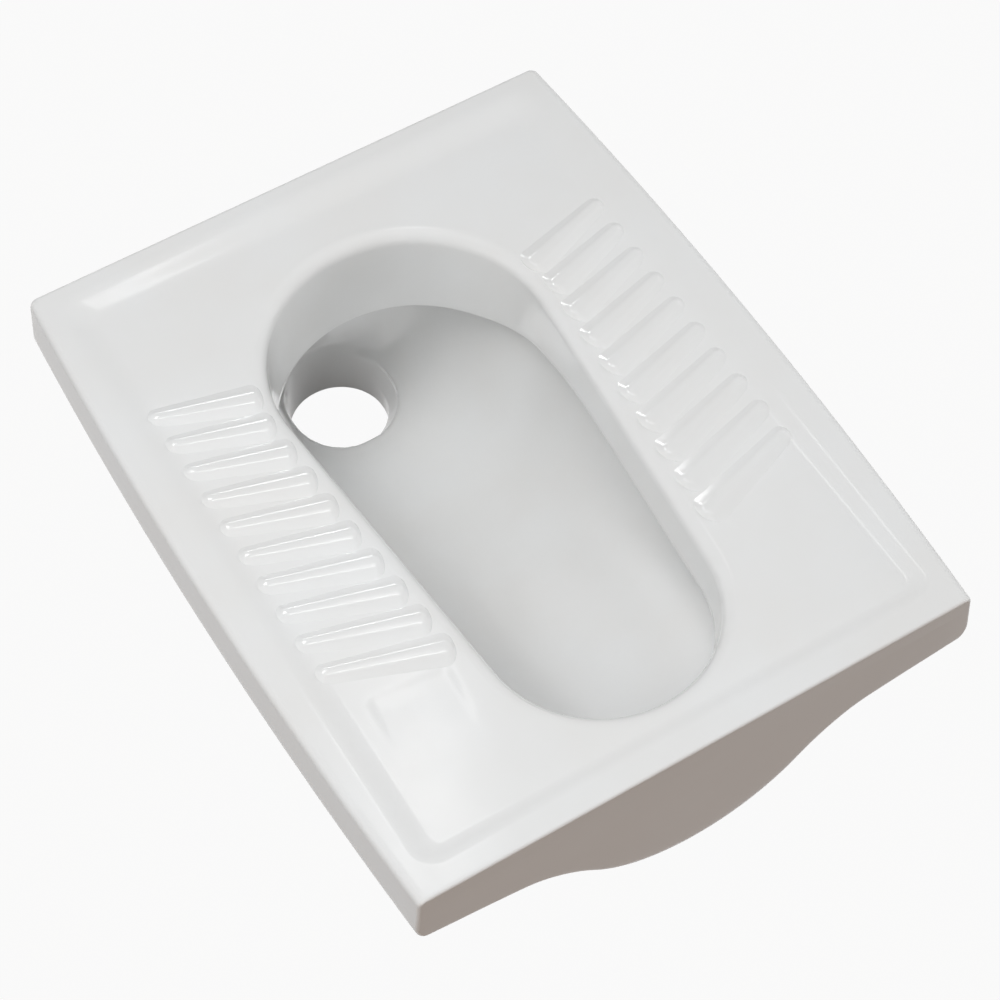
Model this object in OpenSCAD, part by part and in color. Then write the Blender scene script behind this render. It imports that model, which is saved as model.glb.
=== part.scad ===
// Squat toilet pan of glazed vitreous china, let into a floor.
// X runs across the pan, +Y towards its outlet end and +Z up.
// The origin is under the middle of the deck, level with the end of the outlet.
// Depths are measured down from the top of the deck.

/* [Deck] */
// Length of the deck
deck_len = 600; // [560:5:660]
// Width of the deck at its front and back ends
deck_end_w = 462; // [440:2:500]
// How far each long side bows out at its middle
side_bow = 10; // [0:1:16]
// Radius of the deck's corners in plan
corner_r = 11; // [6:1:20]
// Radius of the rounded top edge
edge_r = 8; // [3:1:10]
// Thickness of the deck under its recess
deck_t = 12; // [12:1:16]

/* [Recess] */
// Depth of the recess that drains into the mouth
recess_d = 5; // [3:0.5:6]
// Flat border beside the recess, at the ends of the long sides
side_border = 16; // [12:1:20]
// Flat border in front of the recess and behind it
end_border = 21; // [18:1:26]
// Width of the slope down into the recess at the sides
side_slope = 18; // [10:1:20]
// Width of the slope down into the recess at the ends
end_slope = 13; // [8:1:16]
// Corner radius of the recess's floor
recess_r = 8; // [4:1:14]
// How far the plain panels in front of the treads are sunk
panel_sink = 1.5; // [0.5:0.5:3]

/* [Mouth] */
// Radius of the mouth's wide back end
back_r = 112; // [104:1:116]
// Radius of the mouth's front end
front_r = 90; // [80:1:96]
// Distance from the deck's back edge to the mouth
mouth_back_gap = 83; // [78:1:92]
// Distance from the deck's front edge to the mouth
mouth_front_gap = 50; // [46:1:60]
// Radius of the rolled lip round the mouth
lip_r = 12; // [8:1:12]

/* [Flush collar and channel] */
// Wall of the collar that hangs below the lip
collar_t = 8; // [6:0.5:10]
// Depth of the collar's lower edge at the back of the mouth
collar_back_d = 92; // [84:1:100]
// Depth of the collar's lower edge along the sides and the front of the mouth
collar_side_d = 50; // [46:1:60]
// Length of the curve in which that edge drops towards the back
collar_drop_len = 170; // [140:5:200]
// Clear width of the flush channel behind the collar
channel_w = 12; // [8:1:14]
// Depth of the channel's outer wall, where the bowl begins
channel_d = 80; // [78:1:88]

/* [Foot treads] */
// Ribs on each tread
rib_count = 10; // [6:1:11]
// Distance from one rib to the next
rib_pitch = 28.7; // [24:0.1:29]
// Width of a rib where it meets the deck
rib_w = 13; // [9:0.5:15]
// Height of a rib above the deck
rib_h = 4.5; // [2.5:0.5:5]
// Radius of a rib's slim outer end
rib_tip_r = 5; // [3:0.5:5.5]
// Slant of the ribs from the crosswise line
rib_slant = 18; // [10:1:22]
// Gap between the foot of the side slope and the ribs' outer tips
rib_tip_gap = 0; // [0:1:12]
// Distance from the deck's back edge to the first rib's outer tip
rib_back_gap = 150.5; // [140:0.5:160]
// Flat land between the lip and the ribs
rib_land = 2; // [1:0.5:6]

/* [Aprons] */
// Depth of the lower edge of the aprons
apron_d = 55; // [50:1:62]
// Wall of the aprons
apron_t = 9; // [7:0.5:11]
// How far the end aprons return round the corners, past their own wall
apron_return = 2; // [1:0.5:6]
// How far the side aprons splay outwards at their lower edge
apron_flare = 3; // [0:0.5:5]
// Radius of the nose in the front apron, over the bowl
nose_r = 122; // [110:1:130]
// Depth of the bottom of that nose
nose_d = 140; // [132:1:146]
// Radius of the hollow curves beside the nose
nose_fillet = 156; // [130:2:170]
// Thickness of the webs under the treads
web_t = 9; // [7:0.5:12]
// Depth of the webs' lower edges
web_d = 48; // [40:1:50]
// Distance from one web to the next
web_pitch = 140; // [110:5:160]

/* [Bowl] */
// Wall of the bowl and of the channel
bowl_t = 9; // [7:0.5:11]
// Depth of the bowl's floor behind its front wall
bowl_front_d = 131; // [124:1:136]
// Height of the bowl's belly, under the mouth's wide end, above the top of the outlet
belly_rise = 28; // [22:1:40]
// How far the belly draws in from the channel's inside
belly_in = 15; // [8:1:24]
// How much the bowl opens out above the outlet
outlet_flare = 8; // [4:1:12]
// Height of that opening out
outlet_flare_h = 13; // [9:1:18]

/* [Outlet and inlet] */
// Overall height of the pan, and so the depth of the outlet's end
pan_h = 285; // [275:1:320]
// Inside radius of the outlet
outlet_bore_r = 43.5; // [40:0.5:45]
// Wall of the outlet
outlet_t = 6.5; // [5:0.5:8]
// Straight length of the outlet
outlet_len = 50; // [40:1:55]
// Gap between the back of the outlet and the line of the deck's back edge
outlet_inset = 0; // [0:1:20]
// Inside radius of the flush inlet
inlet_bore_r = 22.5; // [20:0.5:24]
// Wall of the flush inlet
inlet_t = 7.5; // [5:0.5:8]
// Inside radius of the rubber cone, which grips the flush pipe
cone_bore_r = 16; // [14:0.5:18]
// Length of the rubber cone
cone_len = 30; // [24:1:36]
// How much the cone narrows at its inner end
cone_taper = 3; // [1:0.5:4]

/* [Hidden] */

china = "white";
bisque = "gainsboro";
black_rubber = "dimgray";

// A slice thin enough to stand for a plane in a hull
thin = 0.01;
// How far a cutting shape runs past what it cuts
over = 1;
// Facets of a full turn, on round walls and on the bowl's hulls
round_fn = 72;
bowl_fn = 48;
// Facets of a full turn, on the recess's corners and on a rib's two ends
recess_fn = 32;
rib_fn = 28;
rib_tip_fn = 20;
// Degrees from one facet of the rounded top edge to the next
edge_step = 15;
// Steps along a side's bow, round a corner, round the lip and along the collar's edge
side_steps = 24;
corner_steps = 5;
lip_steps = 6;
collar_steps = 12;
web_count = 3;

half_len = deck_len / 2;
under_d = recess_d + deck_t;
end_strip_t = apron_t + apron_return;
// Centres of the mouth's two ends, behind and before the middle of the deck
back_y = half_len - mouth_back_gap - back_r;
front_y = half_len - mouth_front_gap - front_r;
// Tangents to the two ends of the mouth lean by this angle
mouth_lean = asin((back_r - front_r) / (back_y + front_y));
channel_in = collar_t + channel_w;
channel_out = channel_in + bowl_t;
outlet_r = outlet_bore_r + outlet_t;
outlet_y = half_len - outlet_r - outlet_inset;
outlet_top_d = pan_h - outlet_len;
inlet_r = inlet_bore_r + inlet_t;
inlet_d = under_d + inlet_r;
edge_in = min(edge_r, corner_r - 1);
bowl_back_d = outlet_top_d - belly_rise;
rib_tip_x = deck_end_w / 2 - side_border - side_slope - rib_tip_gap;
rib_back_y = half_len - rib_back_gap;

// Half-width of the deck at a distance along it
function side_x(y) = deck_end_w / 2 + side_bow * (1 - pow(y / half_len, 2));
// How far the walls have splayed at a depth
function flare_at(d) = apron_flare * (d - edge_in) / (apron_d - edge_in);
// Half-width of the mouth between its two round ends
function mouth_x(y) = (back_r - (back_y - y) * sin(mouth_lean)) / cos(mouth_lean);

function corner_arc(x, y, r, from) = [
    for (i = [1:corner_steps])
        let (a = from + 90 * i / (corner_steps + 1))
        [x + r * cos(a), y + r * sin(a)]
];

// The right half of the deck's outline, from the front to the back
function half_outline(inset, flare) =
    let (run = half_len - corner_r)
    let (x = side_x(run) + flare - corner_r)
    let (r = corner_r - inset)
    concat(
        [[x, -half_len + inset]],
        corner_arc(x, -run, r, -90),
        [for (i = [0:side_steps])
            let (y = run * (2 * i / side_steps - 1))
            [side_x(y) + flare - inset, y]],
        corner_arc(x, run, r, 0),
        [[x, half_len - inset]]
    );

module deck_outline(inset = 0, flare = 0) {
    half = half_outline(inset, flare);
    other = [for (i = [len(half) - 1:-1:0]) [-half[i][0], half[i][1]]];
    polygon(concat(half, other));
}

// A thin slice of the pan's outline with its top at a depth
module outline_slice(d, inset = 0, flare = 0) {
    translate([0, 0, -d - thin]) linear_extrude(thin) deck_outline(inset, flare);
}

// Puts a piece drawn with the deck's top at zero at its height
module from_top() {
    translate([0, 0, pan_h]) children();
}

// The mouth's plan: two circles and the tangents that join them
module mouth_plan(grow) {
    hull() {
        translate([0, back_y]) circle(back_r + grow, $fn = round_fn);
        translate([0, -front_y]) circle(front_r + grow, $fn = round_fn);
    }
}

module mouth_prism(grow, top_d, low_d) {
    translate([0, 0, -low_d]) linear_extrude(low_d - top_d) mouth_plan(grow);
}

module rounded_plan(half_x, half_y, r) {
    hull()
        for (x = [-1, 1], y = [-1, 1])
            translate([x * (half_x - r), y * (half_y - r)]) circle(r, $fn = recess_fn);
}

// ---- deck ----

// The sloped recess, run on a little above the deck so that it cuts cleanly
module recess() {
    top_x = deck_end_w / 2 - side_border;
    top_y = half_len - end_border;
    up = over / recess_d;
    hull() {
        translate([0, 0, -recess_d]) linear_extrude(thin)
            rounded_plan(top_x - side_slope, top_y - end_slope, recess_r);
        translate([0, 0, over]) linear_extrude(thin)
            rounded_plan(top_x + side_slope * up, top_y + end_slope * up, recess_r + end_slope);
    }
}

// A plain panel in front of a tread, on the right-hand side
module heel_panel() {
    side = deck_end_w / 2 - side_border - side_slope - over;
    front = -(half_len - end_border - end_slope - over);
    lean = tan(rib_slant);
    last_y = rib_back_y - rib_count * rib_pitch + rib_pitch / 4;
    inner = mouth_x(last_y) + lip_r + over;
    translate([0, 0, -recess_d - panel_sink]) linear_extrude(panel_sink + over)
        difference() {
            polygon([
                [inner - rib_pitch, front],
                [side, front],
                [side, last_y],
                [inner - rib_pitch, last_y - (side - inner + rib_pitch) * lean],
            ]);
            mouth_plan(lip_r + over);
        }
}

module deck() {
    color(china) from_top() difference() {
        hull() {
            for (a = [0:edge_step:90])
                outline_slice(
                    edge_in * (1 - sin(a)),
                    edge_in * (1 - cos(a))
                );
            outline_slice(under_d - thin, 0, flare_at(under_d));
        }
        recess();
        mouth_prism(lip_r, -over, under_d + over);
        for (side = [0, 1])
            mirror([side, 0, 0]) heel_panel();
    }
}

// ---- foot treads ----

// One rib: two balls, most of each below the deck's surface, and the rod between them
module rib(tip_y) {
    root_r = (pow(rib_w / 2, 2) + pow(rib_h, 2)) / (2 * rib_h);
    run_x = rib_tip_x - rib_tip_r;
    land_y = tip_y - (run_x - mouth_x(tip_y)) * tan(rib_slant);
    root_x = mouth_x(land_y) + lip_r + rib_land + rib_w / 2;
    root_y = tip_y - (run_x - root_x) * tan(rib_slant);
    hull() {
        translate([run_x, tip_y, rib_h - root_r]) sphere(rib_tip_r, $fn = rib_tip_fn);
        translate([root_x, root_y, rib_h - root_r]) sphere(root_r, $fn = rib_fn);
    }
}

module right_ribs() {
    intersection() {
        for (i = [0:rib_count - 1])
            rib(rib_back_y - i * rib_pitch);
        translate([0, -half_len, 0]) cube([deck_end_w, deck_len, rib_h + over]);
    }
}

module left_foot_tread() {
    color(china) from_top() translate([0, 0, -recess_d])
        mirror([1, 0, 0]) right_ribs();
}

module right_foot_tread() {
    color(china) from_top() translate([0, 0, -recess_d]) right_ribs();
}

// ---- aprons ----

module apron_ring() {
    difference() {
        hull() {
            outline_slice(under_d, 0, flare_at(under_d));
            outline_slice(apron_d - thin, 0, apron_flare);
        }
        translate([0, 0, over]) hull() {
            outline_slice(under_d, apron_t, flare_at(under_d));
            outline_slice(apron_d + 2 * over, apron_t, apron_flare);
        }
    }
}

// The stretch of the apron ring at one end or along one side
module end_strip(dir) {
    intersection() {
        apron_ring();
        translate([-deck_len, dir > 0 ? half_len - end_strip_t : -deck_len, -deck_len])
            cube([2 * deck_len, deck_len - half_len + end_strip_t, deck_len]);
    }
}

module side_strip(dir) {
    intersection() {
        apron_ring();
        translate([
            dir > 0 ? deck_end_w / 4 : -deck_len - deck_end_w / 4,
            -half_len + end_strip_t,
            -deck_len,
        ]) cube([deck_len, deck_len - 2 * end_strip_t, deck_len]);
    }
}

// The part of the front apron that hangs over the bowl: a nose between two hollow curves
module nose_plan() {
    nose_c = nose_r - nose_d;
    drop = nose_c + apron_d + nose_fillet;
    side = sqrt(pow(nose_r + nose_fillet, 2) - pow(drop, 2));
    share = nose_r / (nose_r + nose_fillet);
    meet_x = side * share;
    meet_z = nose_c - drop * share;
    intersection() {
        translate([0, nose_c]) circle(nose_r, $fn = round_fn);
        translate([-meet_x, -nose_d]) square([2 * meet_x, nose_d - apron_d]);
    }
    difference() {
        polygon([[-side, -apron_d], [side, -apron_d], [meet_x, meet_z], [-meet_x, meet_z]]);
        for (x = [-side, side])
            translate([x, -apron_d - nose_fillet]) circle(nose_fillet, $fn = 2 * round_fn);
    }
}

module front_apron() {
    color(china) from_top() {
        end_strip(-1);
        translate([0, -half_len + apron_t, 0]) rotate([90, 0, 0])
            linear_extrude(apron_t) nose_plan();
    }
}

// The back apron has a slot where the flush inlet comes through
module back_apron() {
    color(china) from_top() difference() {
        end_strip(1);
        translate([0, half_len + over, -inlet_d]) rotate([90, 0, 0])
            cylinder(h = apron_t + 2 * over, r = inlet_r, $fn = round_fn);
        translate([-inlet_r, half_len - apron_t - over, -inlet_d - inlet_r])
            cube([2 * inlet_r, apron_t + 2 * over, inlet_r]);
    }
}

module left_apron() {
    color(china) from_top() side_strip(-1);
}

module right_apron() {
    color(china) from_top() side_strip(1);
}

// ---- webs under the treads ----

module webs(dir) {
    difference() {
        intersection() {
            for (i = [0:web_count - 1])
                translate([
                    dir > 0 ? 0 : -deck_end_w,
                    (i - (web_count - 1) / 2) * web_pitch - web_t / 2,
                    -web_d,
                ]) cube([deck_end_w, web_t, web_d - under_d]);
            hull() {
                outline_slice(under_d, apron_t, flare_at(under_d));
                outline_slice(apron_d, apron_t, apron_flare);
            }
        }
        mouth_prism(channel_out, 0, apron_d + over);
    }
}

module left_webs() {
    color(bisque) from_top() webs(-1);
}

module right_webs() {
    color(bisque) from_top() webs(1);
}

// ---- collar and flush channel ----

// The rolled lip, cut out of a ring by steps that follow a quarter circle
module lip_ring() {
    step = 90 / lip_steps;
    difference() {
        mouth_prism(lip_r, recess_d, under_d);
        mouth_prism(0, recess_d + lip_r, under_d + over);
        for (i = [0:lip_steps - 1])
            hull()
                for (a = [i * step, (i + 1) * step])
                    translate([0, 0, lip_r * sin(a) - lip_r - recess_d - thin])
                        linear_extrude(3 * thin) mouth_plan(lip_r * (1 - cos(a)));
    }
}

// Depth of the collar's lower edge: an S-curve about the mouth's widest line
function collar_edge_d(y) =
    let (turn = 180 * ((y - back_y) / collar_drop_len + 0.5))
    collar_side_d + (collar_back_d - collar_side_d) * (1 - cos(turn)) / 2;

// All that lies below the collar's lower edge
module below_collar() {
    curve = [
        for (i = [0:collar_steps])
            let (y = back_y + collar_drop_len * (i / collar_steps - 0.5))
            [y, -collar_edge_d(y)]
    ];
    back_end = [[deck_len, -collar_back_d], [deck_len, -deck_len]];
    front_end = [[-deck_len, -deck_len], [-deck_len, -collar_side_d]];
    translate([-deck_len, 0, 0]) rotate([90, 0, 90]) linear_extrude(2 * deck_len)
        polygon(concat(curve, back_end, front_end));
}

module flush_collar() {
    color(china) from_top() {
        lip_ring();
        difference() {
            mouth_prism(collar_t, under_d, collar_back_d + over);
            mouth_prism(0, under_d - over, collar_back_d + 2 * over);
            below_collar();
        }
    }
}

module channel_wall() {
    color(bisque) from_top() difference() {
        mouth_prism(channel_out, under_d, channel_d);
        mouth_prism(channel_in, under_d - over, channel_d + over);
        translate([0, half_len, -inlet_d]) rotate([90, 0, 0])
            cylinder(h = half_len, r = inlet_bore_r, $fn = round_fn);
    }
}

// ---- bowl ----

// The bowl's trough, drawn larger by its wall for its outside
module trough(wall, top_over) {
    head_r = front_r + channel_in;
    belly_r = back_r + channel_in - belly_in;
    spout_r = outlet_bore_r + (wall > 0 ? outlet_t : 0);
    translate([0, 0, -channel_d + top_over - thin]) linear_extrude(thin)
        mouth_plan(channel_in + wall);
    intersection() {
        union() {
            translate([0, -front_y, head_r - bowl_front_d])
                sphere(head_r + wall, $fn = bowl_fn);
            translate([0, back_y, belly_r - bowl_back_d])
                sphere(belly_r + wall, $fn = bowl_fn);
        }
        translate([-deck_len, -deck_len, -2 * deck_len - channel_d])
            cube([2 * deck_len, 2 * deck_len, 2 * deck_len]);
    }
    translate([0, outlet_y - outlet_flare, outlet_flare_h - outlet_top_d - wall])
        cylinder(h = thin, r = spout_r + outlet_flare, $fn = round_fn);
    translate([0, outlet_y, -outlet_top_d])
        cylinder(h = thin, r = spout_r, $fn = round_fn);
}

// The bowl's front wall runs forward to the back of the apron's nose
module nose_disc() {
    intersection() {
        translate([0, -half_len + apron_t, nose_r - nose_d]) rotate([-90, 0, 0])
            cylinder(h = thin, r = nose_r, $fn = round_fn);
        translate([-deck_len, -deck_len, -2 * deck_len - channel_d])
            cube([2 * deck_len, 2 * deck_len, 2 * deck_len]);
    }
}

module bowl() {
    color(china) from_top() difference() {
        hull() {
            trough(bowl_t, 0);
            nose_disc();
        }
        hull() trough(0, over);
        translate([0, outlet_y, -outlet_top_d - over])
            cylinder(h = 2 * over, r = outlet_bore_r, $fn = round_fn);
    }
}

// ---- outlet and inlet ----

module outlet_spigot() {
    color(china) translate([0, outlet_y, 0]) difference() {
        cylinder(h = outlet_len, r = outlet_r, $fn = round_fn);
        translate([0, 0, -over])
            cylinder(h = outlet_len + 2 * over, r = outlet_bore_r, $fn = round_fn);
    }
}

module inlet_horn() {
    color(bisque) from_top() difference() {
        translate([0, half_len, -inlet_d]) rotate([90, 0, 0])
            cylinder(h = half_len, r = inlet_r, $fn = round_fn);
        translate([0, half_len + over, -inlet_d]) rotate([90, 0, 0])
            cylinder(h = deck_len, r = inlet_bore_r, $fn = round_fn);
        mouth_prism(channel_out, 0, inlet_d + inlet_r + over);
    }
}

// A rubber sleeve pushed into the horn, with a slimmer inner end
module inlet_cone() {
    straight = cone_len / 2;
    color(black_rubber) from_top() translate([0, half_len, -inlet_d])
        rotate([90, 0, 0]) difference() {
            union() {
                cylinder(h = straight, r = inlet_bore_r, $fn = round_fn);
                translate([0, 0, straight])
                    cylinder(
                        h = cone_len - straight,
                        r1 = inlet_bore_r,
                        r2 = inlet_bore_r - cone_taper,
                        $fn = round_fn
                    );
            }
            translate([0, 0, -over])
                cylinder(h = cone_len + 2 * over, r = cone_bore_r, $fn = round_fn);
        }
}

deck();
left_foot_tread();
right_foot_tread();
front_apron();
back_apron();
left_apron();
right_apron();
left_webs();
right_webs();
flush_collar();
channel_wall();
bowl();
outlet_spigot();
inlet_horn();
inlet_cone();
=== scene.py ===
# %% [markdown]
# A floor-set squat toilet pan of glazed vitreous china. The real one is slip-cast in plaster moulds as
# several sections, luted together while leather-hard, glazed and fired as one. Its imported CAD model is
# the fixed frame here. Each china section becomes a mesh with the soft edges of a casting, and the
# sections meet flush, with the same slope on both sides of a joint, so that they read as one piece.

from math import asin, cos, pi, radians, sin, sqrt, tan

import bmesh
import bpy
from mathutils import Matrix, Vector


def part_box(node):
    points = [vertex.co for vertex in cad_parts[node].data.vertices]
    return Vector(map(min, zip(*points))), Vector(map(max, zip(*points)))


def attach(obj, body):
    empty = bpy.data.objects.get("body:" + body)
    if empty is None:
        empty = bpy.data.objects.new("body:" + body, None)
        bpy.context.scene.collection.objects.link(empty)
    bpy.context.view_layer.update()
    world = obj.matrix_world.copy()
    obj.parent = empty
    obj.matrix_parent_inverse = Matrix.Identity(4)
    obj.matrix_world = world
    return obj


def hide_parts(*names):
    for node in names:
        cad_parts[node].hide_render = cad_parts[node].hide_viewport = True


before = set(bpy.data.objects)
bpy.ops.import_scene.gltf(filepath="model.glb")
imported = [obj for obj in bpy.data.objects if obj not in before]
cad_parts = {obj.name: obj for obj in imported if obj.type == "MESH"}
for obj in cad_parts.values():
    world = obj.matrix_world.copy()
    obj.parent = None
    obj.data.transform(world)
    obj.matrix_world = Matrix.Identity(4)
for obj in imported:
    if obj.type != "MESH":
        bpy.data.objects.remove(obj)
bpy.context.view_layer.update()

# %% [markdown]
# All sizes below are millimetres, and depths are measured down from the deck's flat top. The frame gives
# the overall places: the deck's box its top and its outline, the collar's box the two round ends of the
# mouth.

# %% Sizes that the pieces share
MM = 0.001
# Places this close count as the same
NEAR = 0.01
deck_low, deck_high = (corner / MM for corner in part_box("deck"))
collar_low, collar_high = (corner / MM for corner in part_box("flush_collar"))
spigot_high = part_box("outlet_spigot")[1] / MM
TOP = deck_high.z
HALF_LEN = deck_high.y
UNDER_D = TOP - deck_low.z
APRON_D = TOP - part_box("left_apron")[0].z / MM
# Below a depth of EDGE_DROP the walls splay out on their way down, these by SIDE_FLARE, the frame's by less
EDGE_DROP = 8
SIDE_FLARE = 4.2
FRAME_FLARE = 3
# The long sides bow out in the middle
SIDE_BOW = 10
END_X = deck_high.x - SIDE_BOW - FRAME_FLARE * (UNDER_D - EDGE_DROP) / (APRON_D - EDGE_DROP)
RECESS_D = 5
# The mouth: two round ends, whose centres lie at BACK_Y and FRONT_Y, and the lip's roll round it
LIP_R = 12
BACK_R = collar_high.x - LIP_R
BACK_Y = collar_high.y - LIP_R - BACK_R
FRONT_R = 90
FRONT_Y = collar_low.y + LIP_R + FRONT_R
LEAN = asin((BACK_R - FRONT_R) / (BACK_Y - FRONT_Y))
SPIGOT_R = spigot_high.x
SPIGOT_Y = spigot_high.y - SPIGOT_R
SPIGOT_TOP_D = TOP - spigot_high.z
print(f"deck {2 * deck_high.x:.1f} x {2 * HALF_LEN:.1f} mm, mouth ends {BACK_R:.1f} and {FRONT_R} mm")


def place(x, y, depth):
    """A point given in millimetres, its depth down from the deck's top, in the frame's metres."""
    return Vector((x, y, TOP - depth)) * MM


def quarter(steps):
    """The angles of a quarter turn in equal steps."""
    return [radians(90 * step / steps) for step in range(steps + 1)]


def mouth_x(y):
    """Half the width of the mouth between its two round ends."""
    return (BACK_R - (BACK_Y - y) * sin(LEAN)) / cos(LEAN)


# %% [markdown]
# Blender's operators act on whatever is selected, and loading the frame leaves its nodes selected. So
# every step first clears the selection and then selects by place, in code, what a modeller would click.

# %% Selecting by place
def choose(*pieces):
    """Select these pieces alone, the first one active, in object mode."""
    if bpy.context.mode != "OBJECT":
        bpy.ops.object.mode_set(mode="OBJECT")
    bpy.ops.object.select_all(action="DESELECT")
    for piece in pieces:
        piece.select_set(True)
    bpy.context.view_layer.objects.active = pieces[0]


def clear():
    """Leave edit mode with nothing selected, ready for a new primitive."""
    choose(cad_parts["deck"])
    bpy.ops.object.select_all(action="DESELECT")


def edit(piece):
    """Open a piece in edit mode with nothing selected."""
    choose(piece)
    bpy.ops.object.mode_set(mode="EDIT")
    bpy.ops.mesh.select_all(action="DESELECT")


def depth_of(vertex):
    """Depth of a vertex below the deck's top, in millimetres."""
    return TOP - vertex.co.z / MM


def chosen(piece):
    """Numbers of the selected vertices."""
    mesh = bmesh.from_edit_mesh(piece.data)
    mesh.verts.index_update()
    return {vertex.index for vertex in mesh.verts if vertex.select}


def anywhere(x, y, d):
    """A test that every vertex passes."""
    return True


def pick(piece, test, among=None):
    """Select the vertices that pass a test of their place in millimetres, and give their numbers."""
    mesh = bmesh.from_edit_mesh(piece.data)
    mesh.verts.index_update()
    for vertex in mesh.verts:
        here = among is None or vertex.index in among
        vertex.select_set(here and test(vertex.co.x / MM, vertex.co.y / MM, depth_of(vertex)))
    mesh.select_flush_mode()
    bmesh.update_edit_mesh(piece.data)
    return chosen(piece)


def pick_edges(piece, test):
    """Select the edges that pass a test."""
    mesh = bmesh.from_edit_mesh(piece.data)
    mesh.verts.index_update()
    found = [edge for edge in mesh.edges if test(edge)]
    bpy.ops.mesh.select_all(action="DESELECT")
    for edge in found:
        edge.select_set(True)
    bmesh.update_edit_mesh(piece.data)
    return len(found)


def rims_at(depth):
    """A test for open edges that lie at one depth."""
    return lambda edge: edge.is_boundary and all(abs(depth_of(v) - depth) < NEAR for v in edge.verts)


def move(x=0, y=0, down=0):
    """Move what is selected, by millimetres."""
    bpy.ops.transform.translate(value=(x * MM, y * MM, -down * MM))


def pull(x, down, falloff, reach):
    """Move what is selected and draw what lies within reach along with it."""
    bpy.ops.transform.translate(
        value=(x * MM, 0, -down * MM),
        use_proportional_edit=True,
        proportional_edit_falloff=falloff,
        proportional_size=reach * MM,
    )


def grow(x, y, z, about):
    """Scale what is selected about a point."""
    bpy.ops.transform.resize(value=(x, y, z), center_override=about)


def extrude_loop(piece):
    """Extrude the selected loop of edges where it is, and give the new vertices' numbers."""
    bpy.ops.mesh.extrude_edges_move(TRANSFORM_OT_translate={"value": (0, 0, 0)})
    return chosen(piece)


def new_piece(name):
    """Name the piece that was just added, and put its place into its mesh."""
    piece = bpy.context.object
    piece.name = name
    piece.data.name = name
    bpy.ops.object.transform_apply()
    return piece


def weld(piece):
    """Merge what lies together, turn all faces outwards and leave edit mode."""
    bpy.ops.mesh.select_all(action="SELECT")
    bpy.ops.mesh.remove_doubles(threshold=2 * NEAR * MM)
    bpy.ops.mesh.normals_make_consistent(inside=False)
    bpy.ops.object.mode_set(mode="OBJECT")
    return piece


def apply_modifiers(piece):
    """Apply a piece's modifiers in their order."""
    choose(piece)
    for modifier in list(piece.modifiers):
        bpy.ops.object.modifier_apply(modifier=modifier.name)


def report(piece):
    """Print what a piece measures and whether its mesh is closed."""
    mesh = bmesh.new()
    mesh.from_mesh(piece.data)
    open_edges = sum(1 for edge in mesh.edges if not edge.is_manifold)
    volume = mesh.calc_volume(signed=True) / MM**3 / 1000
    mesh.free()
    piece.data.calc_loop_triangles()
    size = [round(side / MM, 1) for side in piece.dimensions]
    triangles = len(piece.data.loop_triangles)
    print(f"{piece.name}: {size} mm, {triangles} triangles, {open_edges} open edges, {volume:.0f} cm3")


def smooth(piece, angle=40):
    """Shade smooth, but keep edges that turn by more than an angle, and report the finished piece."""
    choose(piece)
    bpy.ops.object.shade_smooth_by_angle(angle=radians(angle))
    report(piece)


# %% [markdown]
# ## Rings like the mouth
# The mouth is an egg shape: a wide half circle at the back, a slimmer one in front and two straight
# tangents. The lip, the collar, the channel and the bowl all follow it. Each outline starts as one
# circle whose front part is slid forward, and every next ring is an extrusion of the last one whose two
# ends are then resized and moved. The points keep their order, so the surface never twists.

# %% Egg-shaped rings
ROUND = 144
STEP = radians(360 / ROUND)
SIDE_CUTS = 23


def disc(y, depth, radius, turn=0, points=ROUND):
    """A circle across the pan's middle plane, level or turned upright."""
    bpy.ops.mesh.primitive_circle_add(
        vertices=points, radius=radius * MM, location=place(0, y, depth), rotation=(radians(turn), 0, 0)
    )
    return bpy.context.object


def split_y(ring):
    """Where a ring's back end and front end part, between the last point of each."""
    (back_y, _, back_r), (front_y, _, front_r) = ring
    return (back_y - back_r * sin(STEP) + front_y - front_r * sin(2 * STEP)) / 2


def shift_end(old, new):
    """Take the selected end of a ring from one centre, depth and radius to another."""
    (old_y, old_d, old_r), (new_y, new_d, new_r) = old, new
    grow(new_r / old_r, new_r / old_r, 1, place(0, old_y, old_d))
    move(y=new_y - old_y, down=new_d - old_d)


def next_ring(piece, old, new, loop):
    """Take the selected loop from an old ring to a new one, and give the numbers of its back end."""
    cut = split_y(old)
    back = pick(piece, lambda x, y, d: y > cut, loop)
    front = loop - back
    shift_end(old[0], new[0])
    pick(piece, anywhere, front)
    shift_end(old[1], new[1])
    pick(piece, anywhere, loop)
    return back


def loft(name, rings):
    """Build a surface through rings, each given as (y, depth, radius) at its back and at its front."""
    back = rings[0][0]
    clear()
    disc(*back)
    piece = new_piece(name)
    edit(piece)
    loop = pick(piece, anywhere)
    backs = next_ring(piece, (back, back), rings[0], loop)
    for old, new in zip(rings, rings[1:]):
        backs |= next_ring(piece, old, new, extrude_loop(piece))
    pick_edges(piece, lambda edge: len({v.index in backs for v in edge.verts}) == 2)
    bpy.ops.mesh.subdivide(number_cuts=SIDE_CUTS)
    return weld(piece)


def mouth_ring(out, depth):
    """The mouth's outline, grown outwards, at a depth."""
    return (BACK_Y, depth, BACK_R + out), (FRONT_Y, depth, FRONT_R + out)


# %% [markdown]
# ## The flush collar
# The collar is the rolled lip of the mouth and the wall that hangs from it. Flush water runs round
# behind that wall and washes down the bowl. The wall leans in a little, as a mould needs, and its lower
# edge is deep at the back, where the water comes in, and shallow along the sides. The roll is a quarter
# circle that starts level with the deck's floor, so the joint between the two pieces doesn't show. The
# S of the lower edge is one proportional move: the front part goes up, and the smooth falloff fades it
# out towards the back while the rest of the collar is hidden.

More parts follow.
